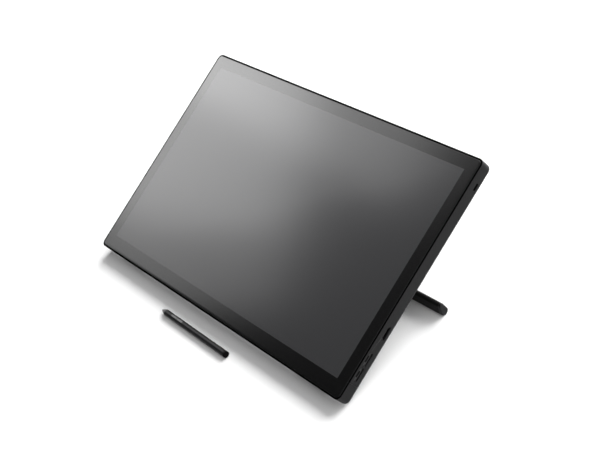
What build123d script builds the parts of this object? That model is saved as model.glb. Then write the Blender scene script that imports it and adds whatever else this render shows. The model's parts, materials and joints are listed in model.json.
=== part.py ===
from build123d import *
import os
from math import cos, sin, radians

# Pen drawing tablet on its folding stand, with its pen lying in front of it.
# The glass is modelled on glass_plane: x runs to the right, y up the slope from the bottom
# edge, and depths are measured from the front of the glass towards the back cover.
# The origin is on the floor under the centre of the whole object.  Sizes in mm and degrees.

os.makedirs("parts", exist_ok=True)

# ---- driving sizes: screen and outline ------------------------------------------------
active_w = 527.0  # lit area of a 23.8 inch 16:9 panel
active_h = 296.5
bezel_side = 20.2
bezel_top = 19.7
bezel_bottom = 22.6
corner_r = 8.0
tilt = 23.0  # working angle of the glass above the floor

# ---- driving sizes: the stack from the glass to the back --------------------------------
glass_t = 2.0
bond_t = 0.3
panel_t = 1.3
backlight_t = 4.0
sensor_t = 1.0
shield_t = 0.6
seat_gap = 0.2  # free height between the shield and the frame's web
web_t = 1.5
board_zone = 7.9  # free height between the web and the back wall
wall_t = 2.2
rim_w = 2.4  # edge of the housing seen round the glass
rim_drop = 0.2  # the rim sits this far below the glass
glass_gap = 0.15
adhesive_t = 0.6
back_r = 5.0  # rounding of the back edge
rim_chamfer = 0.4
frame_gap = 0.3  # mid frame to housing walls
module_margin = 3.0  # display module beyond its lit area
module_gap = 0.5

# ---- driving sizes: seam, screws, wall plate holes -----------------------------------
seam_y = 25.8  # seam between the back cover and the bottom rail
seam_gap = 0.2
screw_r = 1.5
screw_gap = 0.1
screw_head_r = 2.7
screw_head_t = 1.2
screw_l = 9.0
boss_r = 4.0
cover_screw_inset_x = 42.0
cover_screw_top = 45.0  # from the top edge
cover_screw_low = 130.0  # from the bottom edge
rail_screw_x = 120.0
rail_screw_y = 17.0
plate_pitch = 100.0  # square hole pattern for a wall or arm plate
plate_y = 235.0  # centre of that pattern above the bottom edge
insert_r = 3.4
insert_hole_r = 2.0
insert_l = 7.0
insert_boss_r = 6.0
fit_gap = 0.02

# ---- driving sizes: right side ----------------------------------------------------------
board_standoff = 1.9
board_t = 1.2
usb_y = {"a": 60.8, "b": 40.0}
usb_w = 9.0
usb_h = 3.2
usb_l = 7.4
usb_shell = 0.33
tongue_t = 0.7
usb_pocket_l = 18.0
usb_pocket_h = 6.4
hdmi_y = 98.9
hdmi_w = 15.0
hdmi_h = 5.6
hdmi_l = 11.0
hdmi_shell = 0.5
hdmi_slot_l = 18.0
hdmi_slot_h = 5.0
trim_t = 1.0
trim_gap = 0.1
port_board_d = 8.6  # the sockets' board lies beside the display, ahead of the main board
port_bay_low = 27.0
port_bay_high = 114.0
button_from_top = 32.5  # centre of the power button below the top edge
button_depth = 12.0
button_l = 10.0
button_w = 3.4
button_gap = 0.15
button_travel = 0.8
button_flange = 1.0
button_bay_h = 24.0

# ---- driving sizes: vents, feet -------------------------------------------------------
vent_count = 22
vent_pitch = 8.0
vent_w = 2.5
vent_l = 12.0
vent_from_top = 22.0
front_foot_l = 60.0
front_foot_x = 215.0
front_foot_low = 5.5
front_foot_high = 13.5
foot_seat = 0.6
foot_reach = 20.0  # longer than the way to the floor, where the soles are cut level

# ---- driving sizes: folding stand -----------------------------------------------------
hinge_y = 177.2
arm_x = 170.0
arm_w = 14.0
arm_t = 9.0
hub_r = 6.7
stop_gap = 0.3
bracket_t = 2.0
bracket_w = 44.0
bracket_h = 24.0
ear_t = 4.0
washer_t = 0.8
washer_gap = 0.1
pin_r = 2.5
pin_gap = 0.05
pin_head_r = 4.0
pin_head_t = 1.2
leg_lean = 6.6  # the open leg leans this far back from upright
bar_t = 11.6  # thickness of the foot bar at its lower rounding
bar_top_t = 7.6  # thickness at its upper rounding
bar_h = 19.7
sleeve_t = 2.1
bar_overhang = 0.0  # the bar ends level with the housing
cap_t = 3.5
cap_edge_r = 1.8
window_gap = 0.3
rest_pad_gap = 0.3
rest_pad_dx = 30.0  # each pad lies this far outside its arm

# ---- driving sizes: pen -----------------------------------------------------------------
pen_l = 159.0
pen_r = 4.6
pen_x = -6.5
pen_ahead = 26.2  # pen axis in front of the bottom edge of the glass
pen_turn = -0.3
barrel_wall = 0.8
nib_r = 0.9
nib_out = 2.2
cone_l = 9.0
cone_tip_r = 1.5
nib_gap = 0.06
nib_travel = 0.5
cap_l = 4.0
switch_count = 2
switch_start = 27.8  # first switch from the nib's point
switch_l = 13.2
switch_space = 0.6
switch_w = 3.4
switch_proud = 0.35
switch_travel = 0.4
switch_gap = 0.12
coil_l = 10.0
coil_start = 13.0
sensor_l = 4.0
pen_board_l = 60.0

# ---- worked-out sizes ---------------------------------------------------------------------
width = active_w + 2 * bezel_side
height = active_h + bezel_top + bezel_bottom
half_w = width / 2
mid_y = height / 2
module_w = active_w + 2 * module_margin
module_h = active_h + 2 * module_margin
module_y = bezel_bottom + active_h / 2
panel_d = glass_t + bond_t
backlight_d = panel_d + panel_t
sensor_d = backlight_d + backlight_t
shield_d = sensor_d + sensor_t
web_d = shield_d + shield_t + seat_gap
web_back = web_d + web_t
wall_d = web_back + board_zone
thickness = wall_d + wall_t
frame_d = glass_t + adhesive_t
ledge_d = frame_d + 0.1
board_d = web_back + board_standoff
inner_w = width - 2 * wall_t
inner_h = height - 2 * wall_t
frame_w = inner_w - 2 * frame_gap
frame_h = inner_h - 2 * frame_gap
hinge_d = thickness + bracket_t + hub_r + stop_gap
button_y = height - button_from_top
bar_r = bar_t / 2
bar_top_r = bar_top_t / 2

# The glass stands on the slope through its bottom edge; the whole object is centred on y.
slope_y = Vector(0, cos(radians(tilt)), sin(radians(tilt)))
slope_z = Vector(0, -sin(radians(tilt)), cos(radians(tilt)))
front_reach = pen_ahead + pen_r + pen_l / 2 * sin(radians(abs(pen_turn)))
back_reach = height * cos(radians(tilt)) + (thickness - back_r) * sin(radians(tilt))
edge_y = (front_reach - back_reach) / 2
glass_plane = Plane(
    origin=(0, edge_y, thickness * cos(radians(tilt))),
    x_dir=(1, 0, 0),
    z_dir=slope_z,
)


def layer(depth):
    """Plane parallel to the glass, this far behind its front."""
    return glass_plane.offset(-depth)


def at(x, y, depth):
    """Point given by its place on the glass and its depth."""
    return glass_plane.from_local_coords(Vector(x, y, -depth))


def side(x):
    """Plane across the tablet, facing right: its x is up the slope, its y is minus depth."""
    return Plane(origin=at(x, 0, 0), x_dir=slope_y, z_dir=(1, 0, 0))


def slab(x, y, w, h, depth, t, r=0.0, mode=Mode.ADD):
    """Flat block parallel to the glass, w by h about (x, y), t thick from this depth."""
    with BuildSketch(layer(depth)) as outline:
        with Locations((x, y)):
            if r > 0:
                RectangleRounded(w, h, r)
            else:
                Rectangle(w, h)
    extrude(outline.sketch, amount=-t, mode=mode)


def posts(places, r, depth, t, mode=Mode.ADD):
    """Round posts or holes at these places, t long from this depth."""
    with BuildSketch(layer(depth)) as rounds:
        with Locations(*places):
            Circle(r)
    extrude(rounds.sketch, amount=-t, mode=mode)


cover_screw_x = half_w - cover_screw_inset_x
cover_screw_places = [
    (x, y)
    for x in (-cover_screw_x, 0, cover_screw_x)
    for y in (cover_screw_low, height - cover_screw_top)
]
rail_screw_places = [(-rail_screw_x, rail_screw_y), (rail_screw_x, rail_screw_y)]
bracket_screw_dx = bracket_w / 2 - screw_head_r - 2.0
bracket_screw_dy = bracket_h / 2 - screw_head_r - 2.0
bracket_screw_places = [
    (sx * arm_x + dx, hinge_y + dy)
    for sx in (-1, 1)
    for dx in (-bracket_screw_dx, bracket_screw_dx)
    for dy in (-bracket_screw_dy, bracket_screw_dy)
]
plate_places = [
    (dx, plate_y + dy)
    for dx in (-plate_pitch / 2, plate_pitch / 2)
    for dy in (-plate_pitch / 2, plate_pitch / 2)
]

# ---- glass and display stack ------------------------------------------------------------
glass_edge = rim_w + glass_gap

with BuildPart() as front_glass:
    slab(0, mid_y, width - 2 * glass_edge, height - 2 * glass_edge, 0, glass_t,
         corner_r - glass_edge)
    front_rim = front_glass.faces().sort_by(Axis(at(0, 0, 0), slope_z))[-1].edges()
    chamfer(front_rim, 0.25)
front_glass.part.label = "front_glass"
export_step(front_glass.part, "parts/front_glass.step")

with BuildPart() as glass_adhesive:
    slab(0, mid_y, frame_w - 2, frame_h - 2, glass_t, adhesive_t, 3.0)
    slab(0, module_y, module_w + 2, module_h + 2, glass_t, adhesive_t, mode=Mode.SUBTRACT)
glass_adhesive.part.label = "glass_adhesive"
export_step(glass_adhesive.part, "parts/glass_adhesive.step")

with BuildPart() as bonding_layer:
    slab(0, module_y, module_w, module_h, glass_t, bond_t)
bonding_layer.part.label = "bonding_layer"
export_step(bonding_layer.part, "parts/bonding_layer.step")

with BuildPart() as display_panel:
    slab(0, module_y, module_w, module_h, panel_d, panel_t)
display_panel.part.label = "display_panel"
export_step(display_panel.part, "parts/display_panel.step")

with BuildPart() as backlight_unit:
    slab(0, module_y, module_w, module_h, backlight_d, backlight_t)
backlight_unit.part.label = "backlight_unit"
export_step(backlight_unit.part, "parts/backlight_unit.step")

with BuildPart() as sensor_board:
    slab(0, module_y, module_w - 2, module_h - 2, sensor_d, sensor_t)
sensor_board.part.label = "sensor_board"
export_step(sensor_board.part, "parts/sensor_board.step")

with BuildPart() as shield_plate:
    slab(0, module_y, module_w - 2, module_h - 2, shield_d, shield_t)
shield_plate.part.label = "shield_plate"
export_step(shield_plate.part, "parts/shield_plate.step")

# ---- mid frame: tray that holds the stack, with screw bosses behind it ----------------
port_bay_x = module_w / 2 + module_gap + 1.0
port_bay_d = port_board_d - usb_h - 0.8
button_bay_d = button_depth - 3.0
bay_y = (port_bay_low + port_bay_high) / 2
bay_h = port_bay_high - port_bay_low
boss_places = cover_screw_places + rail_screw_places + bracket_screw_places

with BuildPart() as mid_frame:
    slab(0, mid_y, frame_w, frame_h, frame_d, web_back - frame_d, corner_r - wall_t - frame_gap)
    slab(0, module_y, module_w + 2 * module_gap, module_h + 2 * module_gap, frame_d,
         web_d - frame_d, mode=Mode.SUBTRACT)
    slab((port_bay_x + half_w) / 2, bay_y, half_w - port_bay_x, bay_h, port_bay_d,
         web_back - port_bay_d, mode=Mode.SUBTRACT)
    slab((port_bay_x + half_w) / 2, button_y, half_w - port_bay_x, button_bay_h, button_bay_d,
         web_back - button_bay_d, mode=Mode.SUBTRACT)
    posts(boss_places, boss_r, web_back, board_zone - frame_gap)
    posts(boss_places, screw_r + screw_gap, web_back, board_zone, mode=Mode.SUBTRACT)
mid_frame.part.label = "mid_frame"
export_step(mid_frame.part, "parts/mid_frame.step")


# ---- housing: one tray outline, cut at the seam into the back cover and the rail -----------
def housing_tray():
    """Side walls and back wall with a rounded back edge, open at the glass."""
    depth = thickness - rim_drop
    slab(0, mid_y, width, height, rim_drop, depth, corner_r)
    facing = Axis(at(0, 0, 0), slope_z)
    fillet(faces().sort_by(facing)[0].edges(), back_r)
    chamfer(faces().sort_by(facing)[-1].edges(), rim_chamfer)
    slab(0, mid_y, width - 2 * rim_w, height - 2 * rim_w, rim_drop, ledge_d - rim_drop,
         corner_r - rim_w, mode=Mode.SUBTRACT)
    slab(0, mid_y, inner_w, inner_h, ledge_d, wall_d - ledge_d, corner_r - wall_t,
         mode=Mode.SUBTRACT)


def screw_holes(places):
    """Holes through the back wall, sunk so that the heads lie flush."""
    posts(places, screw_r + screw_gap, wall_d, wall_t, mode=Mode.SUBTRACT)
    head_d = thickness - screw_head_t - screw_gap
    posts(places, screw_head_r + screw_gap, head_d, thickness - head_d, mode=Mode.SUBTRACT)


def side_cut(y, depth, length, opening, r):
    """Opening through the right wall."""
    with BuildSketch(side(half_w)) as hole:
        with Locations((y, -depth)):
            RectangleRounded(length, opening, r)
    extrude(hole.sketch, amount=-(wall_t + 0.5), mode=Mode.SUBTRACT)


usb_d = port_board_d - usb_h / 2
hdmi_d = port_board_d + 2.5
seam = Plane(origin=at(0, seam_y, 0), x_dir=(1, 0, 0), z_dir=slope_y)

with BuildPart() as rear_cover:
    housing_tray()
    split(bisect_by=seam.offset(seam_gap / 2), keep=Keep.TOP)
    for name in usb_y:
        side_cut(usb_y[name], usb_d, usb_pocket_l, usb_pocket_h, 1.6)
    side_cut(hdmi_y, hdmi_d, hdmi_slot_l, hdmi_slot_h, 1.0)
    button_hole_w = button_w + 2 * button_gap
    side_cut(button_y, button_depth, button_l + 2 * button_gap, button_hole_w,
             button_hole_w / 2 - 0.01)
    posts(plate_places, insert_boss_r, thickness - insert_l, insert_l - wall_t)
    posts(plate_places, insert_r + fit_gap, thickness - insert_l, insert_l, mode=Mode.SUBTRACT)
    screw_holes(cover_screw_places)
    posts(bracket_screw_places, screw_r + screw_gap, wall_d, wall_t, mode=Mode.SUBTRACT)
    with BuildSketch(layer(wall_d)):
        with Locations((0, height - vent_from_top)):
            with GridLocations(vent_pitch, 1, vent_count, 1):
                SlotOverall(vent_l, vent_w, rotation=90)
    extrude(amount=-wall_t, mode=Mode.SUBTRACT)
rear_cover.part.label = "rear_cover"
export_step(rear_cover.part, "parts/rear_cover.step")

foot_mid = (front_foot_low + front_foot_high) / 2
foot_h = front_foot_high - front_foot_low

with BuildPart() as bottom_rail:
    housing_tray()
    split(bisect_by=seam.offset(-seam_gap / 2), keep=Keep.BOTTOM)
    screw_holes(rail_screw_places)
    for sx in (-1, 1):
        slab(sx * front_foot_x, foot_mid, front_foot_l + 0.2, foot_h + 0.2,
             thickness - foot_seat, foot_seat, mode=Mode.SUBTRACT)
bottom_rail.part.label = "bottom_rail"
export_step(bottom_rail.part, "parts/bottom_rail.step")

# ---- front feet: rubber wedges whose soles lie flat on the floor at the working angle -----
floor = Plane(origin=(0, 0, 0), x_dir=(1, 0, 0), z_dir=(0, 0, 1))

for name, sx in (("left", -1), ("right", 1)):
    with BuildPart() as front_foot:
        slab(sx * front_foot_x, foot_mid, front_foot_l, foot_h, thickness - foot_seat, foot_reach)
        fillet(front_foot.edges().filter_by(Axis(at(0, 0, 0), slope_z)), 1.5)
        split(bisect_by=floor, keep=Keep.TOP)
    front_foot.part.label = f"front_foot_{name}"
    export_step(front_foot.part, f"parts/front_foot_{name}.step")

# ---- fasteners and inserts ---------------------------------------------------------------
head_d = thickness - screw_head_t

with BuildPart() as cover_screws:
    posts(cover_screw_places + rail_screw_places, screw_r, thickness - screw_l,
          screw_l - screw_head_t)
    posts(cover_screw_places + rail_screw_places, screw_head_r, head_d, screw_head_t)
cover_screws.part.label = "cover_screws"
export_step(cover_screws.part, "parts/cover_screws.step")

with BuildPart() as vesa_inserts:
    posts(plate_places, insert_r, thickness - insert_l, insert_l)
    posts(plate_places, insert_hole_r, thickness - insert_l, insert_l, mode=Mode.SUBTRACT)
vesa_inserts.part.label = "vesa_inserts"
export_step(vesa_inserts.part, "parts/vesa_inserts.step")

# ---- boards -------------------------------------------------------------------------------
main_x = 158.0
main_y = 76.0
main_w = 136.0
main_h = 84.0
can_t = 0.5
can_h = board_zone - board_standoff - board_t - 1.0

with BuildPart() as main_board:
    slab(main_x, main_y, main_w, main_h, board_d, board_t)
main_board.part.label = "main_board"
export_step(main_board.part, "parts/main_board.step")

with BuildPart() as board_shield:
    slab(main_x, main_y, 100, 64, board_d + board_t, can_h, 2.0)
    slab(main_x, main_y, 100 - 2 * can_t, 64 - 2 * can_t, board_d + board_t, can_h - can_t,
         1.5, mode=Mode.SUBTRACT)
board_shield.part.label = "board_shield"
export_step(board_shield.part, "parts/board_shield.step")

with BuildPart() as thermal_pad:
    slab(main_x, main_y, 40, 40, web_back, board_standoff)
thermal_pad.part.label = "thermal_pad"
export_step(thermal_pad.part, "parts/thermal_pad.step")

driver_y = 36.0
driver_w = 260.0
driver_x = -80.0

with BuildPart() as driver_board:
    slab(driver_x, driver_y, driver_w, 12, web_back + 0.4, 1.0)
driver_board.part.label = "driver_board"
export_step(driver_board.part, "parts/driver_board.step")

ribbon_t = 0.3
main_left = main_x - main_w / 2
driver_right = driver_x + driver_w / 2

with BuildPart() as panel_cable:
    slab((driver_right + main_left + 6) / 2, 38, main_left + 6 - driver_right, 7,
         board_d - ribbon_t, ribbon_t)
panel_cable.part.label = "panel_cable"
export_step(panel_cable.part, "parts/panel_cable.step")

control_x = -60.0
control_w = 90.0
control_right = control_x + control_w / 2

with BuildPart() as sensor_controller:
    slab(control_x, 92, control_w, 46, board_d, board_t)
sensor_controller.part.label = "sensor_controller"
export_step(sensor_controller.part, "parts/sensor_controller.step")

with BuildPart() as sensor_cable:
    slab((control_right + main_left) / 2, 88, main_left - control_right, 10,
         board_d + 0.4, ribbon_t)
sensor_cable.part.label = "sensor_cable"
export_step(sensor_cable.part, "parts/sensor_cable.step")

# ---- right side: sockets, their board and trim, power button ---------------------------------
trim_x = half_w - wall_t - trim_gap - trim_t  # inner face of the trim plate
mouth_x = half_w - wall_t - trim_gap  # mouths of the sockets
port_board_right = trim_x - 1.5
port_board_left = port_bay_x + frame_gap
port_board_w = port_board_right - port_board_left
main_right = main_x + main_w / 2

with BuildPart() as port_board:
    slab(port_board_right - port_board_w / 2, bay_y, port_board_w, bay_h - 2, port_board_d,
         board_t)
    slab(port_board_right - 4, hdmi_y, 10, hdmi_w + 1, port_board_d, board_t,
         mode=Mode.SUBTRACT)
port_board.part.label = "port_board"
export_step(port_board.part, "parts/port_board.step")

cable_d = board_d + 0.4
cable_right = port_board_left + 1.7
cable_rise = cable_d - port_board_d - board_t

with BuildPart() as port_cable:
    slab((main_right + cable_right) / 2, 70, cable_right - main_right, 20, cable_d, ribbon_t)
    slab(cable_right - ribbon_t / 2, 70, ribbon_t, 20, port_board_d + board_t, cable_rise)
port_cable.part.label = "port_cable"
export_step(port_cable.part, "parts/port_cable.step")

with BuildPart() as port_trim:
    with BuildSketch(side(trim_x)):
        with Locations((bay_y, -(port_bay_d + wall_d) / 2)):
            Rectangle(bay_h - 2, wall_d - port_bay_d - 0.6)
        with Locations(*[(y, -usb_d) for y in usb_y.values()]):
            RectangleRounded(usb_w + 2 * trim_gap, usb_h + 2 * trim_gap, usb_h / 2,
                             mode=Mode.SUBTRACT)
        with Locations((hdmi_y, -hdmi_d)):
            RectangleRounded(hdmi_w + 2 * trim_gap, hdmi_h + 2 * trim_gap, 0.8,
                             mode=Mode.SUBTRACT)
    extrude(amount=trim_t)
port_trim.part.label = "port_trim"
export_step(port_trim.part, "parts/port_trim.step")


def socket(y, depth, w, h, length, shell, r, tongue_w):
    """Metal socket shell with its mouth to the right and a contact tongue inside."""
    back = 1.0
    with BuildSketch(side(mouth_x)) as outer:
        with Locations((y, -depth)):
            RectangleRounded(w, h, r)
    extrude(outer.sketch, amount=-length)
    with BuildSketch(side(mouth_x)) as hollow:
        with Locations((y, -depth)):
            RectangleRounded(w - 2 * shell, h - 2 * shell, r - shell)
            Rectangle(tongue_w, tongue_t, mode=Mode.SUBTRACT)
    extrude(hollow.sketch, amount=-(length - back), mode=Mode.SUBTRACT)


for name in usb_y:
    with BuildPart() as usb_port:
        socket(usb_y[name], usb_d, usb_w, usb_h, usb_l, usb_shell, usb_h / 2 - 0.01, 6.6)
    usb_port.part.label = f"usb_c_port_{name}"
    export_step(usb_port.part, f"parts/usb_c_port_{name}.step")

with BuildPart() as hdmi_port:
    socket(hdmi_y, hdmi_d, hdmi_w, hdmi_h, hdmi_l, hdmi_shell, 0.8, 10.5)
hdmi_port.part.label = "hdmi_port"
export_step(hdmi_port.part, "parts/hdmi_port.step")

button_face = half_w - 0.1
flange_x = half_w - wall_t - 0.25 - button_flange

with BuildPart() as power_button:
    with BuildSketch(side(flange_x)):
        with Locations((button_y, -button_depth)):
            RectangleRounded(button_l + 2, button_w + 2, 1.0)
    extrude(amount=button_flange)
    with BuildSketch(side(flange_x)):
        with Locations((button_y, -button_depth)):
            RectangleRounded(button_l, button_w, button_w / 2 - 0.01)
    extrude(amount=button_face - flange_x)
    face = power_button.faces().sort_by(Axis.X)[-1]
    fillet(face.edges(), 0.3)
power_button.part.label = "power_button"
export_step(power_button.part, "parts/power_button.step")

switch_x = flange_x - button_travel - 0.1
power_board_d = button_depth + 1.9

with BuildPart() as power_switch:
    with BuildSketch(side(switch_x)):
        with Locations((button_y, -button_depth)):
            Rectangle(6, 3.5)
    extrude(amount=-4)
power_switch.part.label = "power_switch"
export_step(power_switch.part, "parts/power_switch.step")

with BuildPart() as power_board:
    slab(switch_x - 5, button_y, 9, 20, power_board_d, board_t)
power_board.part.label = "power_board"
export_step(power_board.part, "parts/power_board.step")

# ---- folding stand: brackets, pins, arms, foot bar ---------------------------------------------
hinge = at(0, hinge_y, hinge_d)
lean = radians(leg_lean)
leg_l = (hinge.Z - bar_r) / cos(lean)  # hinge to the centre of the bar's lower rounding
leg_back = Vector(0, cos(lean), sin(lean))
bar_rise = bar_h - bar_r - bar_top_r  # between the centres of its lower and upper rounding
bar_mid = leg_l - (bar_h / 2 - bar_r)  # hinge to the middle of the bar's section
ear_in = arm_w / 2 + washer_t + 2 * washer_gap
ear_out = ear_in + ear_t


def leg(x):
    """Plane across the open leg: its x points back, its y up along the leg from the hinge."""
    return Plane(origin=hinge + Vector(x, 0, 0), x_dir=leg_back, z_dir=(1, 0, 0))


def bar_run(x, length, inset=0.0, mode=Mode.ADD):
    """Stretch of the foot bar from x to the right: an upright, rounded section, narrower on top."""
    with BuildSketch(leg(x)) as section:
        with Locations((0, -leg_l)):
            Circle(bar_r - inset)
        with Locations((0, -leg_l + bar_rise)):
            Circle(bar_top_r - inset)
        make_hull()
    extrude(section.sketch, amount=length, mode=mode)


for name, sx in (("left", -1), ("right", 1)):
    with BuildPart() as hinge_bracket:
        slab(sx * arm_x, hinge_y, bracket_w, bracket_h, thickness, bracket_t, 3.0)
        for ear_x in (sx * arm_x - ear_out, sx * arm_x + ear_in):
            with BuildSketch(side(ear_x)):
                with Locations((hinge_y, -hinge_d)):
                    Circle(hub_r)
                ear_h = hinge_d - thickness - bracket_t / 2
                with Locations((hinge_y, -hinge_d + ear_h / 2)):
                    Rectangle(2 * hub_r, ear_h)
            extrude(amount=ear_t)
        with BuildSketch(side(sx * arm_x - ear_out)):
            with Locations((hinge_y, -hinge_d)):
                Circle(pin_r + fit_gap)
        extrude(amount=2 * ear_out, mode=Mode.SUBTRACT)
        near = [p for p in bracket_screw_places if p[0] * sx > 0]
        posts(near, screw_r + screw_gap, thickness, bracket_t, mode=Mode.SUBTRACT)
    hinge_bracket.part.label = f"hinge_bracket_{name}"
    export_step(hinge_bracket.part, f"parts/hinge_bracket_{name}.step")

    with BuildPart() as hinge_pin:
        with BuildSketch(side(sx * arm_x - ear_out - pin_head_t)):
            with Locations((hinge_y, -hinge_d)):
                Circle(pin_r)
        extrude(amount=2 * ear_out + 2 * pin_head_t)
        for head_x in (sx * arm_x - ear_out - pin_head_t, sx * arm_x + ear_out):
            with BuildSketch(side(head_x)):
                with Locations((hinge_y, -hinge_d)):
                    Circle(pin_head_r)
            extrude(amount=pin_head_t)
    hinge_pin.part.label = f"hinge_pin_{name}"
    export_step(hinge_pin.part, f"parts/hinge_pin_{name}.step")

    with BuildPart() as stand_arm:
        with BuildSketch(leg(sx * arm_x - arm_w / 2)):
            Circle(hub_r)
            with Locations((0, -bar_mid / 2)):
                Rectangle(arm_t, bar_mid)
        extrude(amount=arm_w)
        with BuildSketch(side(sx * arm_x - arm_w / 2)):
            with Locations((hinge_y + hub_r / 2, -hinge_d + hub_r / 2)):
                Rectangle(hub_r, hub_r)
        extrude(amount=arm_w)
        bar_run(sx * arm_x - arm_w / 2, arm_w, sleeve_t, mode=Mode.SUBTRACT)
        with BuildSketch(leg(sx * arm_x - arm_w / 2)):
            with Locations((0, -bar_mid - bar_h / 2)):
                Rectangle(2 * bar_t, bar_h)
            Circle(pin_r + pin_gap)
        extrude(amount=arm_w, mode=Mode.SUBTRACT)
    stand_arm.part.label = f"stand_arm_{name}"
    export_step(stand_arm.part, f"parts/stand_arm_{name}.step")

with BuildPart() as bracket_screws:
    posts(bracket_screw_places, screw_r, thickness + bracket_t - screw_l, screw_l)
    posts(bracket_screw_places, screw_head_r, thickness + bracket_t, screw_head_t)
bracket_screws.part.label = "bracket_screws"
export_step(bracket_screws.part, "parts/bracket_screws.step")

washer_places = [
    sx * arm_x + off
    for sx in (-1, 1)
    for off in (-ear_in + washer_gap, arm_w / 2 + washer_gap)
]
with BuildPart() as friction_washers:
    for washer_x in washer_places:
        with BuildSketch(side(washer_x)):
            with Locations((hinge_y, -hinge_d)):
                Circle(hub_r - 1)
                Circle(pin_r + fit_gap, mode=Mode.SUBTRACT)
        extrude(amount=washer_t)
friction_washers.part.label = "friction_washers"
export_step(friction_washers.part, "parts/friction_washers.step")

bar_end = half_w + bar_overhang
core_end = bar_end - cap_t

with BuildPart() as stand_bar:
    bar_run(-core_end, 2 * core_end, sleeve_t)
stand_bar.part.label = "stand_bar"
export_step(stand_bar.part, "parts/stand_bar.step")

with BuildPart() as stand_sleeve:
    bar_run(-core_end, 2 * core_end)
    bar_run(-core_end, 2 * core_end, sleeve_t, mode=Mode.SUBTRACT)
    for sx in (-1, 1):
        with BuildSketch(leg(sx * arm_x - arm_w / 2 - window_gap)):
            with Locations((0, -bar_mid + bar_h / 2)):
                Rectangle(arm_t + 2 * window_gap, bar_h)
        extrude(amount=arm_w + 2 * window_gap, mode=Mode.SUBTRACT)
stand_sleeve.part.label = "stand_sleeve"
export_step(stand_sleeve.part, "parts/stand_sleeve.step")

for name, sx in (("left", -1), ("right", 1)):
    with BuildPart() as bar_cap:
        bar_run(core_end if sx > 0 else -bar_end, cap_t)
        outer = bar_cap.faces().sort_by(Axis.X)[-1 if sx > 0 else 0]
        fillet(outer.edges(), cap_edge_r)
    bar_cap.part.label = f"bar_cap_{name}"
    export_step(bar_cap.part, f"parts/bar_cap_{name}.step")

# Pads on the back that the folded bar comes down on.
pad_t = hinge_d - bar_r - thickness - rest_pad_gap
folded_y = hinge_y - leg_l

with BuildPart() as rest_pads:
    for pad_x in (-arm_x - rest_pad_dx, arm_x + rest_pad_dx):
        slab(pad_x, folded_y, 16, 10, thickness, pad_t, 3.0)
rest_pads.part.label = "rest_pads"
export_step(rest_pads.part, "parts/rest_pads.step")

# ---- pen -------------------------------------------------------------------------------------
turn = radians(pen_turn)
pen_dir = Vector(cos(turn), sin(turn), 0)
pen_across = Vector(-sin(turn), cos(turn), 0)
pen_plane = Plane(origin=(pen_x, edge_y - pen_ahead, pen_r), x_dir=pen_dir, z_dir=(0, 0, 1))
tip_x = -pen_l / 2
tail_x = pen_l / 2
cone_start = tip_x + nib_out
cone_end = cone_start + cone_l
barrel_end = tail_x - cap_l
bore_r = pen_r - barrel_wall
switch_x0 = tip_x + switch_start
switches_l = switch_count * switch_l + (switch_count - 1) * switch_space
window_l = switches_l + 2 * switch_gap
window_w = switch_w + 2 * switch_gap
window_mid = switch_x0 + switches_l / 2


def across_pen(x):
    """Plane square to the pen, facing its tail, at this distance along it."""
    origin = pen_plane.from_local_coords(Vector(x, 0, 0))
    return Plane(origin=origin, x_dir=pen_across, z_dir=pen_dir)


def rod(x, length, r, mode=Mode.ADD):
    """Round rod or bore along the pen's axis."""
    with BuildSketch(across_pen(x)) as disc:
        Circle(r)
    extrude(disc.sketch, amount=length, mode=mode)


def pen_slab(x, length, w, low, high, mode=Mode.ADD):
    """Flat block in the pen, between two heights from its axis."""
    with BuildSketch(pen_plane.offset(low)) as outline:
        with Locations((x + length / 2, 0)):
            Rectangle(length, w)
    extrude(outline.sketch, amount=high - low, mode=mode)


with BuildPart() as pen_barrel:
    rod(cone_end, barrel_end - cone_end, pen_r)
    rod(cone_end, barrel_end - cone_end, bore_r, mode=Mode.SUBTRACT)
    with BuildSketch(pen_plane):
        with Locations((window_mid, 0)):
            RectangleRounded(window_l, window_w, 1.4)
    extrude(amount=2 * pen_r, mode=Mode.SUBTRACT)
pen_barrel.part.label = "pen_barrel"
export_step(pen_barrel.part, "parts/pen_barrel.step")

with BuildPart() as pen_cone:
    profile = Plane(origin=pen_plane.origin, x_dir=pen_dir, z_dir=-pen_across)
    with BuildSketch(profile):
        with BuildLine():
            Polyline((cone_end, 0), (cone_start, 0), (cone_start, cone_tip_r))
            Spline((cone_start, cone_tip_r), (cone_start + cone_l * 0.55, pen_r - 1.1),
                   (cone_end, pen_r), tangents=((1, 0.75), (1, 0.1)))
            Line((cone_end, pen_r), (cone_end, 0))
        make_face()
    revolve(axis=Axis(pen_plane.origin, pen_dir))
    rod(cone_start, cone_l, nib_r + nib_gap, mode=Mode.SUBTRACT)
pen_cone.part.label = "pen_cone"
export_step(pen_cone.part, "parts/pen_cone.step")

coil_x = tip_x + coil_start
sensor_x = coil_x + coil_l + 0.5
nib_end = sensor_x - nib_travel - 0.1

with BuildPart() as pen_nib:
    rod(tip_x, nib_end - tip_x, nib_r)
    point = pen_nib.faces().sort_by(Axis(pen_plane.origin, pen_dir))[0]
    fillet(point.edges(), nib_r * 0.8)
pen_nib.part.label = "pen_nib"
export_step(pen_nib.part, "parts/pen_nib.step")

with BuildPart() as pen_coil:
    rod(coil_x, coil_l, bore_r - 0.1)
    rod(coil_x, coil_l, nib_r + 0.3, mode=Mode.SUBTRACT)
pen_coil.part.label = "pen_coil"
export_step(pen_coil.part, "parts/pen_coil.step")

with BuildPart() as pen_pressure_sensor:
    rod(sensor_x, min(sensor_l, switch_x0 - sensor_x - 0.5), bore_r - 0.1)
pen_pressure_sensor.part.label = "pen_pressure_sensor"
export_step(pen_pressure_sensor.part, "parts/pen_pressure_sensor.step")

switch_low = pen_r - barrel_wall - 1.4
pen_board_top = switch_low - switch_travel - 0.15

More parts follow.
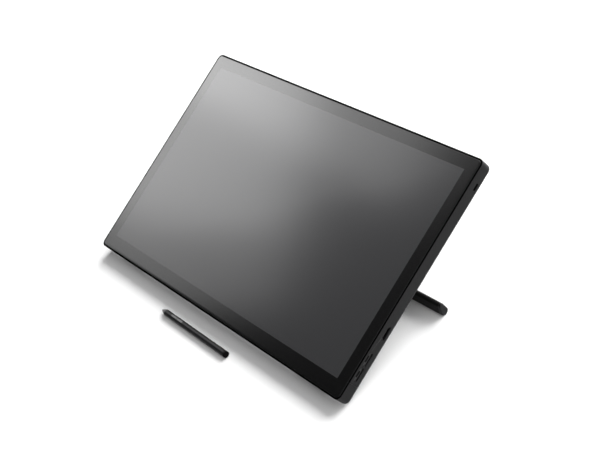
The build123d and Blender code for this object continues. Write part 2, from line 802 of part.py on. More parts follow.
with BuildPart() as pen_switch_board:
    pen_slab(switch_x0 - 0.4, pen_board_l, 4.6, pen_board_top - 0.8, pen_board_top)
pen_switch_board.part.label = "pen_switch_board"
export_step(pen_switch_board.part, "parts/pen_switch_board.step")

for number in range(switch_count):
    key_x = switch_x0 + number * (switch_l + switch_space)
    with BuildPart() as pen_switch:
        with BuildSketch(across_pen(key_x)):
            Circle(pen_r + switch_proud)
        extrude(amount=switch_l)
        with BuildSketch(pen_plane.offset(switch_low)):
            with Locations((key_x + switch_l / 2, 0)):
                RectangleRounded(switch_l, switch_w, 1.0)
        extrude(amount=pen_r, mode=Mode.INTERSECT)
        top = pen_switch.faces().sort_by(Axis.Z)[-1]
        fillet(top.edges(), 0.25)
    pen_switch.part.label = f"pen_switch_{number + 1}"
    export_step(pen_switch.part, f"parts/pen_switch_{number + 1}.step")

with BuildPart() as pen_tail_cap:
    rod(barrel_end, cap_l, pen_r)
    end = pen_tail_cap.faces().sort_by(Axis(pen_plane.origin, pen_dir))[-1]
    fillet(end.edges(), 0.9)
    rod(barrel_end - 5, 5, bore_r - fit_gap)
pen_tail_cap.part.label = "pen_tail_cap"
export_step(pen_tail_cap.part, "parts/pen_tail_cap.step")

print("size", round(width, 2), round(height, 2), round(thickness, 2))
print("glass edge y", round(edge_y, 3), "hinge", hinge, "leg", round(leg_l, 2))
print("fold angle", round(90 - tilt + leg_lean, 2))
print("plate centre", at(0, plate_y, thickness), "slope z", slope_z)
print("button", at(half_w, button_y, button_depth), "usb", at(half_w, usb_y["a"], usb_d),
      at(half_w, usb_y["b"], usb_d), "hdmi", at(half_w, hdmi_y, hdmi_d))
print("nib tip", pen_plane.from_local_coords(Vector(tip_x, 0, 0)))
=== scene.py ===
import bmesh
import bpy
import json
from math import cos, pi, radians, sin
from mathutils import Matrix, Vector


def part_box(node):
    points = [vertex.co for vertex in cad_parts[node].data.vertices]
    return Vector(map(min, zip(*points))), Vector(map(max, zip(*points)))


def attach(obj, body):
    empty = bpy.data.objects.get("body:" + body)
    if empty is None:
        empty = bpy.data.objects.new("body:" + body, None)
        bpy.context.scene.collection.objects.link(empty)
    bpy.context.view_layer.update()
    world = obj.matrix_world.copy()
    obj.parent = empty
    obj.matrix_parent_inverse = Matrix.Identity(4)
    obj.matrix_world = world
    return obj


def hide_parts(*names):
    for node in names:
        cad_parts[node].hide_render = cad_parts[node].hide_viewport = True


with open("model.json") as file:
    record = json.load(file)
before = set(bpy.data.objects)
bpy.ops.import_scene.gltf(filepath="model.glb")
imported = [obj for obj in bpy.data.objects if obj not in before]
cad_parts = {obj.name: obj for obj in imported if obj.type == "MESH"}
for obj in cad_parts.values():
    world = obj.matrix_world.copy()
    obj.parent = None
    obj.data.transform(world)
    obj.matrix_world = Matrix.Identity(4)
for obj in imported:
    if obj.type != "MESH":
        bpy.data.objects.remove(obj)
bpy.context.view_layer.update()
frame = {"nodes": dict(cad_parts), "record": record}

# ---- driving sizes, in metres ---------------------------------------------------------
TILT = radians(23)         # slope of the glass above the floor
THICKNESS = 0.021          # glass front to back wall
HEIGHT = 0.3388            # up the slope
RIM_STEP = 0.0006          # the rim's drop and chamfer, from the glass front
RIM_FACE = 0.0005          # faces nearer to the glass front than this are the rim's own
BEZEL_SIDE = 0.0202        # dark border of the glass
BEZEL_TOP = 0.0197
BEZEL_BOTTOM = 0.0226
RIM = 0.00255              # housing rim and gap round the glass
GLASS_T = 0.0020
GLASS_CORNER = 0.00545
GLASS_EDGE = 0.00035       # polished rounding of the glass edge
CORNER_STEPS = 10
SOFT_ANGLE = radians(32)   # faces that meet flatter than this are one smooth surface

VENT_FROM_TOP = 0.022      # middle of the vent row below the top edge
VENT_FIELD = (0.180, 0.016)
SCREEN_DEPTH = 0.0184      # dust screen just inside the back wall
SCREEN_PITCH = 0.0010
SCREEN_WIRE = 0.00028

SCREW_HEAD_R = 0.0027
SCREW_HEAD_T = 0.0012
SCREW_SHANK_R = 0.0015
SCREW_KEY_R = 0.00125      # six-lobed recess
KEY_LOBES = 0.14           # how far its lobes stand out, as a share of its radius
KEY_LEAD = 1.12            # wider mouth of the recess
KEY_SINK = 0.8             # its depth, as a share of the head
INSERT_R = 0.0034
INSERT_HOLE_R = 0.0020
THREAD_DEPTH = 0.00022
THREAD_TURNS = 9
THREAD_START = 0.0005      # plain lead-in before the first turn
THREAD_RUNOUT = 0.0008     # both plain ends together
SCREW_EDGE = 0.0003        # bevel round a screw head
INSERT_EDGE = 0.0004       # bevels at the mouth of an insert
COVER_SCREW_L = 0.009
BRACKET_SCREW_L = 0.010

TONGUE_T = 0.0007          # contact tongue inside each socket
CONTACT_INSET = 0.0016     # contacts behind the mouth of their socket
CONTACT_SUNK = 0.00003     # contacts pressed into the tongue
USB_CONTACTS = (12, 0.0005, (0.0038, 0.00026, 0.00008))     # count, pitch, size of one
HDMI_CONTACTS = (10, 0.0010, (0.0060, 0.00045, 0.00010))

MERGE_WITHIN = 1e-6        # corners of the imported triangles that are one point

# name, (turn from +X, height) in degrees, strength, then spread in degrees or side in metres
SUNS = (("soft_back", (90, 28), 7.2, 55), ("soft_right", (0, 40), 1.7, 90),
        ("soft_high", (350, 60), 0.35, 110))
CARDS = (("card_high", (160, 40), 21.6, 1.5), ("card_left", (190, 30), 8.4, 1.2),
         ("card_middle", (180, 30), 7.9, 1.0), ("card_low", (165, 25), 1.1, 1.0))

# ---- the tablet's own frame: x right, y up the slope, depth behind the glass --------------
SLOPE_Y = Vector((0, cos(TILT), sin(TILT)))
SLOPE_Z = Vector((0, -sin(TILT), cos(TILT)))
rail_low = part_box("bottom_rail")[0]
cover_low, cover_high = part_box("rear_cover")
WIDTH = cover_high.x - cover_low.x
EDGE = Vector((0, rail_low.y - RIM_STEP * sin(TILT), THICKNESS * cos(TILT)))
ON_GLASS = Matrix.Translation(EDGE) @ Matrix.Rotation(TILT, 4, "X")
FROM_BACK = Matrix.Rotation(TILT + pi, 4, "X")     # turns +Z to point out of the back


def at(x, y, depth=0.0):
    """Point in the row frame from its place on the glass and its depth behind it."""
    return ON_GLASS @ Vector((x, y, -depth))


def depth_of(point):
    """How far a point lies behind the front of the glass."""
    return -(ON_GLASS.inverted() @ point).z


# ---- floor, camera and lights -----------------------------------------------------------
def make_camera():
    """Long lens looking down on the tablet from its right, turned to follow the glass."""
    aim = at(0.06665, 0.1644)
    turn, fall, roll, distance = radians(66.26), radians(37.16), radians(-26.0), 1.750
    look = Vector((-sin(turn) * cos(fall), cos(turn) * cos(fall), -sin(fall)))
    level = look.cross(Vector((0, 0, 1))).normalized()
    rise = level.cross(look)
    right = level * cos(roll) + rise * sin(roll)
    up = right.cross(look)
    data = bpy.data.cameras.new("view")
    data.lens = 79.8
    data.sensor_width = 36.0
    data.clip_end = 20.0
    camera = bpy.data.objects.new("view", data)
    turned = Matrix((right, up, -look)).transposed()
    camera.matrix_world = Matrix.Translation(aim - look * distance) @ turned.to_4x4()
    bpy.context.scene.collection.objects.link(camera)
    bpy.context.scene.camera = camera


def make_light(name, kind, place, aim, power, **settings):
    """Light at a place, turned to face a point."""
    data = bpy.data.lights.new(name, kind)
    data.energy = power
    for setting, value in settings.items():
        setattr(data, setting, value)
    light = bpy.data.objects.new(name, data)
    light.location = place
    light.rotation_euler = (Vector(aim) - Vector(place)).to_track_quat("-Z", "Y").to_euler()
    bpy.context.scene.collection.objects.link(light)
    return light


def make_floor():
    """Wide pale floor."""
    reach = 12.0
    corners = [(-reach, -reach, 0), (reach, -reach, 0), (reach, reach, 0), (-reach, reach, 0)]
    mesh = bpy.data.meshes.new("floor")
    mesh.from_pydata(corners, [], [(0, 1, 2, 3)])
    floor = bpy.data.objects.new("floor", mesh)
    bpy.context.scene.collection.objects.link(floor)
    paint = bpy.data.materials.new("pale_floor")
    paint.use_nodes = True
    shader = paint.node_tree.nodes["Principled BSDF"]
    shader.inputs["Base Color"].default_value = (0.92, 0.92, 0.92, 1)
    shader.inputs["Roughness"].default_value = 0.9
    shader.inputs["Specular IOR Level"].default_value = 0.0
    mesh.materials.append(paint)


def toward(turn, rise, distance):
    """Place at a distance from the origin: turned from +X and raised by angles in degrees."""
    turn, rise = radians(turn), radians(rise)
    return Vector((cos(rise) * cos(turn), cos(rise) * sin(turn), sin(rise))) * distance


def make_studio():
    """Broad soft light from behind and the right, and cards on the left that only gloss sees."""
    make_floor()
    world = bpy.data.worlds.new("studio")
    world.use_nodes = True
    world.node_tree.nodes["Background"].inputs["Color"].default_value = (1, 1, 1, 1)
    world.node_tree.nodes["Background"].inputs["Strength"].default_value = 0.025
    bpy.context.scene.world = world
    for name, (turn, rise), power, spread in SUNS:
        make_light(name, "SUN", toward(turn, rise, 3.0), (0, 0, 0), power, angle=radians(spread))
    for name, (turn, rise), power, side in CARDS:
        card = make_light(name, "AREA", toward(turn, rise, 2.5), (0, 0, 0), power, size=side)
        card.visible_diffuse = False
    bpy.context.scene.view_settings.view_transform = "Standard"


# ---- finishes -------------------------------------------------------------------------------
def finish_nodes(name):
    """New material with its shader and object coordinates."""
    paint = bpy.data.materials.new(name)
    paint.use_nodes = True
    nodes, links = paint.node_tree.nodes, paint.node_tree.links
    shader = nodes["Principled BSDF"]
    place = nodes.new("ShaderNodeTexCoord").outputs["Object"]
    return paint, nodes, links, shader, place


def noise(nodes, links, place, scale, detail=2.0, stretch=None):
    """Noise pattern on object coordinates, stretched along the axes if asked."""
    if stretch:
        mapping = nodes.new("ShaderNodeMapping")
        mapping.inputs["Scale"].default_value = stretch
        links.new(place, mapping.inputs["Vector"])
        place = mapping.outputs["Vector"]
    pattern = nodes.new("ShaderNodeTexNoise")
    pattern.inputs["Scale"].default_value = scale
    pattern.inputs["Detail"].default_value = detail
    links.new(place, pattern.inputs["Vector"])
    return pattern.outputs["Fac"]


def between(nodes, links, share, low, high):
    """Value that runs from low to high as the share runs from 0 to 1."""
    spread = nodes.new("ShaderNodeMapRange")
    spread.inputs["To Min"].default_value = low
    spread.inputs["To Max"].default_value = high
    links.new(share, spread.inputs["Value"])
    return spread.outputs["Result"]


def mixed(nodes, links, share, first, second):
    """Colour between two, by a share."""
    mix = nodes.new("ShaderNodeMix")
    mix.data_type = "RGBA"
    links.new(share, mix.inputs["Factor"])
    for socket, value in (("A", first), ("B", second)):
        slot = [s for s in mix.inputs if s.name == socket and s.type == "RGBA"][0]
        slot.default_value = (*value, 1)
    return [s for s in mix.outputs if s.type == "RGBA"][0]


def bump(nodes, links, shader, height, strength, distance):
    """Surface relief from a height pattern."""
    relief = nodes.new("ShaderNodeBump")
    relief.inputs["Strength"].default_value = strength
    relief.inputs["Distance"].default_value = distance
    links.new(height, relief.inputs["Height"])
    links.new(relief.outputs["Normal"], shader.inputs["Normal"])


def moulded(name, dark, light, rough, grain=6000.0, relief=0.25, gloss=0.5):
    """Plastic or rubber with a fine moulded grain and a slight cloudiness."""
    paint, nodes, links, shader, place = finish_nodes(name)
    cloud = noise(nodes, links, place, 25.0, 3.0)
    links.new(mixed(nodes, links, cloud, dark, light), shader.inputs["Base Color"])
    fine = noise(nodes, links, place, grain, 1.0)
    links.new(between(nodes, links, fine, rough - 0.06, rough + 0.06), shader.inputs["Roughness"])
    shader.inputs["Specular IOR Level"].default_value = gloss
    bump(nodes, links, shader, fine, relief, 0.00005)
    return paint


def metal(name, dark, light, rough, stretch=(1, 1, 1), scale=900.0):
    """Metal with fine brushing or casting marks."""
    paint, nodes, links, shader, place = finish_nodes(name)
    marks = noise(nodes, links, place, scale, 3.0, stretch)
    links.new(mixed(nodes, links, marks, dark, light), shader.inputs["Base Color"])
    links.new(between(nodes, links, marks, rough - 0.08, rough + 0.08), shader.inputs["Roughness"])
    shader.inputs["Metallic"].default_value = 1.0
    bump(nodes, links, shader, marks, 0.15, 0.00004)
    return paint


def within(nodes, links, value, reach):
    """1 where the value is less than the reach on either side of nought."""
    size = nodes.new("ShaderNodeMath")
    size.operation = "ABSOLUTE"
    links.new(value, size.inputs[0])
    inside = nodes.new("ShaderNodeMath")
    inside.operation = "LESS_THAN"
    inside.inputs[1].default_value = reach
    links.new(size.outputs[0], inside.inputs[0])
    return inside.outputs[0]


def etched_glass():
    """Fine etched glass with a black printed border round a dark grey display."""
    paint, nodes, links, shader, place = finish_nodes("etched_glass")
    to_glass = nodes.new("ShaderNodeMapping")
    to_glass.vector_type = "TEXTURE"
    to_glass.inputs["Location"].default_value = at(0, (BEZEL_BOTTOM + HEIGHT - BEZEL_TOP) / 2)
    to_glass.inputs["Rotation"].default_value = (TILT, 0, 0)
    links.new(place, to_glass.inputs["Vector"])
    split = nodes.new("ShaderNodeSeparateXYZ")
    links.new(to_glass.outputs["Vector"], split.inputs["Vector"])
    display = nodes.new("ShaderNodeMath")
    display.operation = "MULTIPLY"
    half_w = WIDTH / 2 - BEZEL_SIDE
    half_h = (HEIGHT - BEZEL_BOTTOM - BEZEL_TOP) / 2
    links.new(within(nodes, links, split.outputs["X"], half_w), display.inputs[0])
    links.new(within(nodes, links, split.outputs["Y"], half_h), display.inputs[1])
    colour = mixed(nodes, links, display.outputs[0], (0.004, 0.004, 0.0042), (0.046, 0.046, 0.048))
    links.new(colour, shader.inputs["Base Color"])
    etch = noise(nodes, links, to_glass.outputs["Vector"], 9000.0, 2.0)
    links.new(between(nodes, links, etch, 0.18, 0.26), shader.inputs["Roughness"])
    shader.inputs["IOR"].default_value = 1.5
    bump(nodes, links, shader, etch, 0.06, 0.00002)
    return paint


FINISHES = {
    "etched_glass": etched_glass,
    "adhesive": lambda: moulded("adhesive", (0.02, 0.02, 0.02), (0.03, 0.03, 0.03), 0.8),
    "display_cell": lambda: moulded("display_cell", (0.04, 0.04, 0.045), (0.06, 0.06, 0.065), 0.3),
    "circuit_board": lambda: moulded("circuit_board", (0.01, 0.06, 0.03), (0.02, 0.10, 0.05), 0.45,
                                     400.0),
    "sheet_steel": lambda: metal("sheet_steel", (0.24, 0.24, 0.25), (0.36, 0.36, 0.37), 0.35,
                                 (1, 12, 12)),
    "frame_metal": lambda: metal("frame_metal", (0.10, 0.10, 0.105), (0.16, 0.16, 0.165), 0.5),
    "housing_plastic": lambda: moulded("housing_plastic", (0.007, 0.007, 0.0075),
                                       (0.010, 0.010, 0.0105), 0.30, gloss=0.12),
    "trim_plastic": lambda: moulded("trim_plastic", (0.004, 0.004, 0.004), (0.007, 0.007, 0.007),
                                    0.5, gloss=0.2),
    "thermal_rubber": lambda: moulded("thermal_rubber", (0.25, 0.28, 0.36), (0.32, 0.35, 0.42), 0.8,
                                      800.0),
    "ribbon": lambda: moulded("ribbon", (0.30, 0.13, 0.03), (0.40, 0.18, 0.05), 0.35, 500.0),
    "foot_rubber": lambda: moulded("foot_rubber", (0.004, 0.004, 0.004), (0.006, 0.006, 0.006), 0.6,
                                   3000.0, 0.4, 0.12),
    "insert_brass": lambda: metal("insert_brass", (0.45, 0.30, 0.10), (0.60, 0.42, 0.16), 0.3),
    "fastener_steel": lambda: metal("fastener_steel", (0.03, 0.03, 0.03), (0.07, 0.07, 0.07), 0.40),
    "pen_plastic": lambda: moulded("pen_plastic", (0.003, 0.003, 0.0035), (0.005, 0.005, 0.0055), 0.40,
                                   gloss=0.15),
    "pen_cone_plastic": lambda: moulded("pen_cone_plastic", (0.04, 0.04, 0.042),
                                        (0.05, 0.05, 0.052), 0.4),
    "pen_key_plastic": lambda: moulded("pen_key_plastic", (0.018, 0.018, 0.0185),
                                       (0.024, 0.024, 0.0245), 0.4),
    "pen_tail_plastic": lambda: moulded("pen_tail_plastic", (0.002, 0.002, 0.002),
                                        (0.003, 0.003, 0.003), 0.35, gloss=0.03),
    "nib_plastic": lambda: moulded("nib_plastic", (0.02, 0.02, 0.02), (0.03, 0.03, 0.03), 0.5),
    "ferrite": lambda: moulded("ferrite", (0.04, 0.04, 0.04), (0.06, 0.06, 0.06), 0.6, 1500.0),
}
SLOT_OF = {row["node"]: row["material_slot"] for row in frame["record"]["subparts"]}
BODY_OF = {node: body for body, nodes in frame["record"]["behaviour"]["bodies"].items()
           for node in nodes}
paints = {slot: make() for slot, make in FINISHES.items()}
rim_black = moulded("rim_black", (0.001, 0.001, 0.001), (0.002, 0.002, 0.002), 0.9, gloss=0.0)
# Port trim inside the recessed pockets: painted light, far lighter than the housing, standing in for
# light that the recess does not get.
pocket_painted_light = moulded("pocket_painted_light", (0.040, 0.040, 0.041), (0.050, 0.050, 0.051), 0.5, gloss=0.2)
# Socket shells: steel painted near black as painted shade of the slots' insides.
socket_steel_painted_shade = metal("socket_steel_painted_shade", (0.014, 0.014, 0.014), (0.028, 0.028, 0.028), 0.5)
contact_gold = metal("contact_gold", (0.60, 0.42, 0.16), (0.72, 0.52, 0.22), 0.25)
screen_steel = metal("screen_steel", (0.04, 0.04, 0.04), (0.08, 0.08, 0.08), 0.45)


def finish_cad_nodes():
    """Every CAD node gets the finish of its slot."""
    for node, slot in SLOT_OF.items():
        mesh = frame["nodes"][node].data
        mesh.materials.clear()
        mesh.materials.append(paints[slot])


# ---- helpers for pieces -----------------------------------------------------------------------
def put(name, bm, paint):
    """Object from a bmesh with one finish."""
    mesh = bpy.data.meshes.new(name)
    bm.to_mesh(mesh)
    bm.free()
    mesh.set_sharp_from_angle(angle=SOFT_ANGLE)
    mesh.materials.append(paint)
    piece = bpy.data.objects.new(name, mesh)
    bpy.context.scene.collection.objects.link(piece)
    return piece


def settle(piece, body, replaced=()):
    """Ties a finished piece to its body and the nodes that it stands for."""
    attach(piece, body)
    if replaced:
        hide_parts(*replaced)


def merged(node):
    """One closed mesh from a CAD node's loose triangles."""
    bm = bmesh.new()
    bm.from_mesh(frame["nodes"][node].data)
    bmesh.ops.remove_doubles(bm, verts=bm.verts, dist=MERGE_WITHIN)
    for face in bm.faces:
        face.smooth = True
    return bm


def islands(node):
    """Lowest and highest corners of each separate solid of a CAD node."""
    bm = bmesh.new()
    bm.from_mesh(frame["nodes"][node].data)
    bmesh.ops.remove_doubles(bm, verts=bm.verts, dist=MERGE_WITHIN)
    seen, boxes = set(), []
    for first in bm.verts:
        if first in seen:
            continue
        group, todo = [], [first]
        seen.add(first)
        while todo:
            vert = todo.pop()
            group.append(vert.co.copy())
            for edge in vert.link_edges:
                other = edge.other_vert(vert)
                if other not in seen:
                    seen.add(other)
                    todo.append(other)
        boxes.append([Vector(pick(v[i] for v in group) for i in range(3)) for pick in (min, max)])
    bm.free()
    return boxes


def eased(node, width=0.0, paint=None):
    """A CAD node's shape with its normals led by the flat faces, and its edges rounded if asked."""
    piece = put(f"eased_{node}", merged(node), paint or paints[SLOT_OF[node]])
    if width:
        rounding = piece.modifiers.new("edge_rounding", "BEVEL")
        rounding.width = width
        rounding.segments = 2
        rounding.limit_method = "ANGLE"
        rounding.angle_limit = radians(40)
    shading = piece.modifiers.new("flat_faces_first", "WEIGHTED_NORMAL")
    shading.mode = "FACE_AREA"
    shading.weight = 100
    shading.keep_sharp = True
    ready = piece.evaluated_get(bpy.context.evaluated_depsgraph_get())
    mesh = bpy.data.meshes.new_from_object(ready)
    piece.modifiers.clear()
    piece.data = mesh
    settle(piece, BODY_OF[node], (node,))
    return piece


def rounded_ring(bm, width, height, corner, depth, middle):
    """Ring of corner arcs parallel to the glass, about a middle height up the slope."""
    ring = []
    for sx, sy, start in ((1, 1, 0), (-1, 1, pi / 2), (-1, -1, pi), (1, -1, 1.5 * pi)):
        for step in range(CORNER_STEPS + 1):
            angle = start + pi / 2 * step / CORNER_STEPS
            x = sx * (width / 2 - corner) + corner * cos(angle)
            y = middle + sy * (height / 2 - corner) + corner * sin(angle)
            ring.append(bm.verts.new(at(x, y, depth)))
    return ring


def bridge(bm, first, second):
    """Band of faces between two rings of the same count."""
    count = len(first)
    for i in range(count):
        j = (i + 1) % count
        bm.faces.new((first[i], first[j], second[j], second[i])).smooth = True


def glass_sheet():
    """The front glass with its finely rounded edge."""
    bm = bmesh.new()
    width, height = WIDTH - 2 * RIM, HEIGHT - 2 * RIM
    steps = 4
    rings = []
    for k in range(steps + 1):
        angle = pi / 2 * k / steps
        inset = GLASS_EDGE * (1 - sin(angle))
        rings.append((inset, GLASS_EDGE * (1 - cos(angle))))
    rings.append((0.0, GLASS_T))
    made = [rounded_ring(bm, width - 2 * inset, height - 2 * inset, GLASS_CORNER - inset, depth,
                         HEIGHT / 2) for inset, depth in rings]
    for first, second in zip(made, made[1:]):
        bridge(bm, first, second)
    bm.faces.new(made[0])
    bm.faces.new(reversed(made[-1]))
    bmesh.ops.recalc_face_normals(bm, faces=bm.faces)
    settle(put("glass_sheet", bm, paints["etched_glass"]), "tablet",
           ("front_glass",))


def turned(profile, segments, lobes=6):
    """Turned solid about Z from (radius, height, lobe share) rings, closed at both ends."""
    bm = bmesh.new()
    rings = []
    for radius, height, share in profile:
        ring = []
        for i in range(segments):
            angle = 2 * pi * i / segments
            r = radius * (1 + share * cos(lobes * angle))
            ring.append(bm.verts.new((r * cos(angle), r * sin(angle), height)))
        rings.append(ring)
    for first, second in zip(rings, rings[1:]):
        bridge(bm, first, second)
    bm.faces.new(rings[0])
    bm.faces.new(reversed(rings[-1]))
    bmesh.ops.recalc_face_normals(bm, faces=bm.faces)
    return bm


# ---- pieces that repeat: one tree sets copies out on their places ---------------------------------
def copies_tree():
    """Node tree that puts a pattern on every point, faces it and spins it at random."""
    tree = bpy.data.node_groups.new("copies_on_places", "GeometryNodeTree")
    face = tree.interface
    face.new_socket("Places", in_out="INPUT", socket_type="NodeSocketGeometry")
    face.new_socket("Pattern", in_out="INPUT", socket_type="NodeSocketObject")
    face.new_socket("Facing", in_out="INPUT", socket_type="NodeSocketVector")
    face.new_socket("Most spin", in_out="INPUT", socket_type="NodeSocketFloat")
    face.new_socket("Seed", in_out="INPUT", socket_type="NodeSocketInt")
    face.new_socket("Finish", in_out="INPUT", socket_type="NodeSocketMaterial")
    face.new_socket("Pieces", in_out="OUTPUT", socket_type="NodeSocketGeometry")
    nodes, links = tree.nodes, tree.links
    given = nodes.new("NodeGroupInput").outputs
    result = nodes.new("NodeGroupOutput")
    pattern = nodes.new("GeometryNodeObjectInfo")
    links.new(given["Pattern"], pattern.inputs["Object"])
    facing = nodes.new("FunctionNodeEulerToRotation")
    links.new(given["Facing"], facing.inputs["Euler"])
    copies = nodes.new("GeometryNodeInstanceOnPoints")
    links.new(given["Places"], copies.inputs["Points"])
    links.new(pattern.outputs["Geometry"], copies.inputs["Instance"])
    links.new(facing.outputs["Rotation"], copies.inputs["Rotation"])
    chance = nodes.new("FunctionNodeRandomValue")
    chance.data_type = "FLOAT"
    limits = [s for s in chance.inputs if s.type == "VALUE" and s.name in ("Min", "Max")]
    lowest, highest = limits[:2]
    lowest.default_value = 0.0
    links.new(given["Most spin"], highest)
    links.new(given["Seed"], chance.inputs["Seed"])
    spin = nodes.new("ShaderNodeCombineXYZ")
    links.new([s for s in chance.outputs if s.type == "VALUE"][0], spin.inputs["Z"])
    spin_turn = nodes.new("FunctionNodeEulerToRotation")
    links.new(spin.outputs["Vector"], spin_turn.inputs["Euler"])
    spun = nodes.new("GeometryNodeRotateInstances")
    links.new(copies.outputs["Instances"], spun.inputs["Instances"])
    links.new(spin_turn.outputs["Rotation"], spun.inputs["Rotation"])
    real = nodes.new("GeometryNodeRealizeInstances")
    links.new(spun.outputs["Instances"], real.inputs["Geometry"])
    painted = nodes.new("GeometryNodeSetMaterial")
    links.new(real.outputs["Geometry"], painted.inputs["Geometry"])
    links.new(given["Finish"], painted.inputs["Material"])
    links.new(painted.outputs["Geometry"], result.inputs["Pieces"])
    return tree


def screen_tree():
    """Node tree of a flat woven screen: crossed rows of fine square wires."""
    tree = bpy.data.node_groups.new("dust_screen", "GeometryNodeTree")
    face = tree.interface
    face.new_socket("Start", in_out="INPUT", socket_type="NodeSocketGeometry")
    for label in ("Width", "Height", "Pitch", "Wire"):
        face.new_socket(label, in_out="INPUT", socket_type="NodeSocketFloat")
    face.new_socket("Finish", in_out="INPUT", socket_type="NodeSocketMaterial")
    face.new_socket("Screen", in_out="OUTPUT", socket_type="NodeSocketGeometry")
    nodes, links = tree.nodes, tree.links
    given = nodes.new("NodeGroupInput").outputs
    result = nodes.new("NodeGroupOutput")

    def worked(operation, first, second):
        math = nodes.new("ShaderNodeMath")
        math.operation = operation
        for socket, value in zip(math.inputs, (first, second)):
            if isinstance(value, float):
                socket.default_value = value
            else:
                links.new(value, socket)
        return math.outputs[0]

    join = nodes.new("GeometryNodeJoinGeometry")
    for across, along, axis, lift in (("Width", "Height", "X", 0.5), ("Height", "Width", "Y", -0.5)):
        wire = nodes.new("GeometryNodeMeshCube")
        size = nodes.new("ShaderNodeCombineXYZ")
        links.new(given["Wire"], size.inputs[axis])
        links.new(given[along], size.inputs["Y" if axis == "X" else "X"])
        links.new(given["Wire"], size.inputs["Z"])
        links.new(size.outputs["Vector"], wire.inputs["Size"])
        row = nodes.new("GeometryNodeMeshLine")
        row.mode = "OFFSET"
        start, step = nodes.new("ShaderNodeCombineXYZ"), nodes.new("ShaderNodeCombineXYZ")
        links.new(worked("MULTIPLY", given[across], -0.5), start.inputs[axis])
        links.new(worked("MULTIPLY", given["Wire"], lift), start.inputs["Z"])
        links.new(given["Pitch"], step.inputs[axis])
        pitches = worked("DIVIDE", given[across], given["Pitch"])
        links.new(worked("ADD", pitches, 1.01), row.inputs["Count"])
        links.new(start.outputs["Vector"], row.inputs["Start Location"])
        links.new(step.outputs["Vector"], row.inputs["Offset"])
        wires = nodes.new("GeometryNodeInstanceOnPoints")
        links.new(row.outputs["Mesh"], wires.inputs["Points"])
        links.new(wire.outputs["Mesh"], wires.inputs["Instance"])
        links.new(wires.outputs["Instances"], join.inputs["Geometry"])
    real = nodes.new("GeometryNodeRealizeInstances")
    links.new(join.outputs["Geometry"], real.inputs["Geometry"])
    painted = nodes.new("GeometryNodeSetMaterial")
    links.new(real.outputs["Geometry"], painted.inputs["Geometry"])
    links.new(given["Finish"], painted.inputs["Material"])
    links.new(painted.outputs["Geometry"], result.inputs["Screen"])
    return tree


def grown(name, start, tree, values, place=Matrix()):
    """Plain mesh piece that a node tree makes from its start mesh and named values."""
    maker = bpy.data.objects.new(name, start)
    bpy.context.scene.collection.objects.link(maker)
    grower = maker.modifiers.new("grower", "NODES")
    grower.node_group = tree
    for socket in tree.interface.items_tree:
        if socket.in_out == "INPUT" and socket.name in values:
            grower[socket.identifier] = values[socket.name]
    ready = maker.evaluated_get(bpy.context.evaluated_depsgraph_get())
    mesh = bpy.data.meshes.new_from_object(ready)
    mesh.transform(place)
    bpy.data.objects.remove(maker)
    piece = bpy.data.objects.new(name, mesh)
    bpy.context.scene.collection.objects.link(piece)
    return piece


def set_out(name, pattern_bm, places, finish, facing=(TILT + pi, 0, 0), spin=0.0, seed=3):
    """Copies of a small pattern on a list of places, as one mesh."""
    pattern_mesh = bpy.data.meshes.new(f"{name}_pattern")
    pattern_bm.to_mesh(pattern_mesh)
    pattern_bm.free()
    pattern_mesh.set_sharp_from_angle(angle=SOFT_ANGLE)
    pattern = bpy.data.objects.new(f"{name}_pattern", pattern_mesh)
    bpy.context.scene.collection.objects.link(pattern)
    points = bpy.data.meshes.new(f"{name}_places")
    points.from_pydata([tuple(p) for p in places], [], [])
    values = {"Pattern": pattern, "Facing": facing, "Most spin": spin, "Seed": seed, "Finish": finish}
    piece = grown(name, points, COPIES, values)
    bpy.data.objects.remove(pattern)
    return piece


def outer_face(node, box):
    """Middle of the back-facing end of one fastener, from its box."""
    middle = (box[0] + box[1]) / 2
    spot = ON_GLASS.inverted() @ middle
    deepest = max(depth_of(vert.co) for vert in frame["nodes"][node].data.vertices
                  if (vert.co - middle).length < (box[1] - box[0]).length)
    return at(spot.x, spot.y, deepest)


def screws(node, length):
    """Six-lobe screws in place of a group of plain fasteners; the head's top is at height 0."""
    profile = [(SCREW_SHANK_R, -length, 0), (SCREW_SHANK_R, -SCREW_HEAD_T, 0),
               (SCREW_HEAD_R, -SCREW_HEAD_T, 0), (SCREW_HEAD_R, -SCREW_EDGE, 0),
               (SCREW_HEAD_R - SCREW_EDGE, 0, 0), (SCREW_KEY_R * KEY_LEAD, 0, KEY_LOBES),
               (SCREW_KEY_R, -0.0001, KEY_LOBES),
               (SCREW_KEY_R, -SCREW_HEAD_T * KEY_SINK, KEY_LOBES)]
    places = [outer_face(node, box) for box in islands(node)]
    piece = set_out(f"{node}_six_lobe", turned(profile, 36), places, paints["fastener_steel"],
                    spin=2 * pi)
    settle(piece, "tablet", (node,))


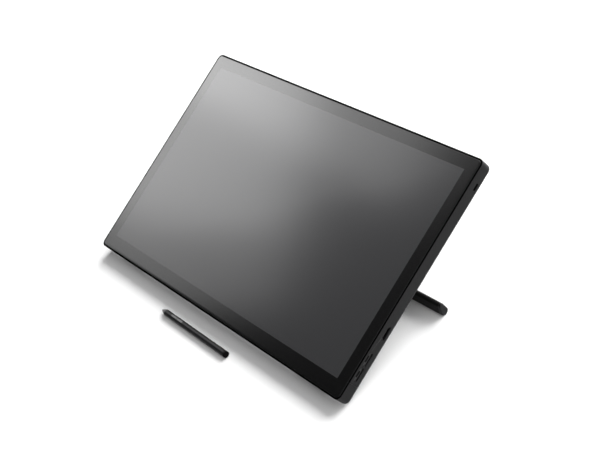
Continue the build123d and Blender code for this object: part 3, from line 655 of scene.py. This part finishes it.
def wall_inserts():
    """Threaded brass inserts of the wall plate, with grooves for the thread."""
    low, high = islands("vesa_inserts")[0]
    length = ((high - low).y - 2 * INSERT_R * cos(TILT)) / sin(TILT)
    bm = bmesh.new()
    outer = [(INSERT_R, -length), (INSERT_R, -INSERT_EDGE), (INSERT_R - INSERT_EDGE, 0.0)]
    hole = [(INSERT_HOLE_R + INSERT_EDGE, 0.0), (INSERT_HOLE_R + THREAD_DEPTH, -0.0003)]
    for turn in range(THREAD_TURNS):
        crest = -THREAD_START - (length - THREAD_RUNOUT) * (turn + 0.5) / THREAD_TURNS
        root = -THREAD_START - (length - THREAD_RUNOUT) * (turn + 1.0) / THREAD_TURNS
        hole += [(INSERT_HOLE_R, crest), (INSERT_HOLE_R + THREAD_DEPTH, root)]
    hole.append((INSERT_HOLE_R, -length))
    rings = []
    for radius, height in outer + hole:
        rings.append([bm.verts.new((radius * cos(a), radius * sin(a), height))
                      for a in (2 * pi * i / 32 for i in range(32))])
    for first, second in zip(rings, rings[1:] + rings[:1]):
        bridge(bm, first, second)
    bmesh.ops.recalc_face_normals(bm, faces=bm.faces)
    places = [outer_face("vesa_inserts", box) for box in islands("vesa_inserts")]
    piece = set_out("wall_inserts_threaded", bm, places, paints["insert_brass"])
    settle(piece, "tablet", ("vesa_inserts",))


def vent_screen():
    """Fine steel screen behind the vent slots."""
    start = bpy.data.meshes.new("screen_start")
    start.from_pydata([(0, 0, 0)], [], [])
    width, height = VENT_FIELD
    values = {"Width": width, "Height": height, "Pitch": SCREEN_PITCH, "Wire": SCREEN_WIRE,
              "Finish": screen_steel}
    place = Matrix.Translation(at(0, HEIGHT - VENT_FROM_TOP, SCREEN_DEPTH)) @ FROM_BACK
    piece = grown("vent_screen", start, screen_tree(), values, place)
    settle(piece, "tablet")


def contacts(port, count, pitch, size):
    """Row of gold contacts on both faces of a socket's tongue."""
    low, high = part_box(port)
    middle = (low + high) / 2
    bm = bmesh.new()
    bmesh.ops.create_cube(bm, size=1.0)
    bmesh.ops.scale(bm, vec=size, verts=bm.verts)
    places = []
    for side in (-1, 1):
        for i in range(count):
            up = (i - (count - 1) / 2) * pitch
            lift = side * (TONGUE_T / 2 + size[2] / 2 - CONTACT_SUNK)
            start = Vector((high.x - CONTACT_INSET - size[0] / 2, middle.y, middle.z))
            places.append(start + SLOPE_Y * up + SLOPE_Z * lift)
    piece = set_out(f"{port}_contacts", bm, places, contact_gold, facing=(TILT, 0, 0))
    settle(piece, "tablet")


# ---- the pieces ----------------------------------------------------------------------------------
def black_rim(piece):
    """The housing's narrow front face round the glass is a matt black band."""
    piece.data.materials.append(rim_black)
    for face in piece.data.polygons:
        if depth_of(face.center) < RIM_FACE:
            face.material_index = 1


def housing():
    """Back cover and bottom rail with the black rim round the glass."""
    for node in ("rear_cover", "bottom_rail"):
        black_rim(eased(node))


SOFT_NODES = ("stand_sleeve", "bar_cap_left", "bar_cap_right", "pen_barrel", "pen_cone", "pen_nib",
              "pen_tail_cap", "pen_switch_1", "pen_switch_2", "hinge_pin_left", "hinge_pin_right",
              "friction_washers")
SOCKETS = ("usb_c_port_a", "usb_c_port_b", "hdmi_port")
ROUNDED_NODES = {"stand_arm_left": 0.0006, "stand_arm_right": 0.0006, "hinge_bracket_left": 0.0003,
                 "hinge_bracket_right": 0.0003, "rest_pads": 0.0005}

make_camera()
make_studio()
finish_cad_nodes()
COPIES = copies_tree()
glass_sheet()
housing()
for soft_node in SOFT_NODES:
    eased(soft_node)
# Socket shells take steel painted near black, as painted shade inside the slots.
for socket in SOCKETS:
    eased(socket, paint=socket_steel_painted_shade)
eased("power_button", paint=rim_black)
# The port trim carries painted light that lifts the shade of its recessed pockets.
eased("port_trim", paint=pocket_painted_light)
for rounded_node, edge_width in ROUNDED_NODES.items():
    eased(rounded_node, edge_width)
screws("cover_screws", COVER_SCREW_L)
screws("bracket_screws", BRACKET_SCREW_L)
wall_inserts()
vent_screen()
contacts("usb_c_port_a", *USB_CONTACTS)
contacts("usb_c_port_b", *USB_CONTACTS)
contacts("hdmi_port", *HDMI_CONTACTS)
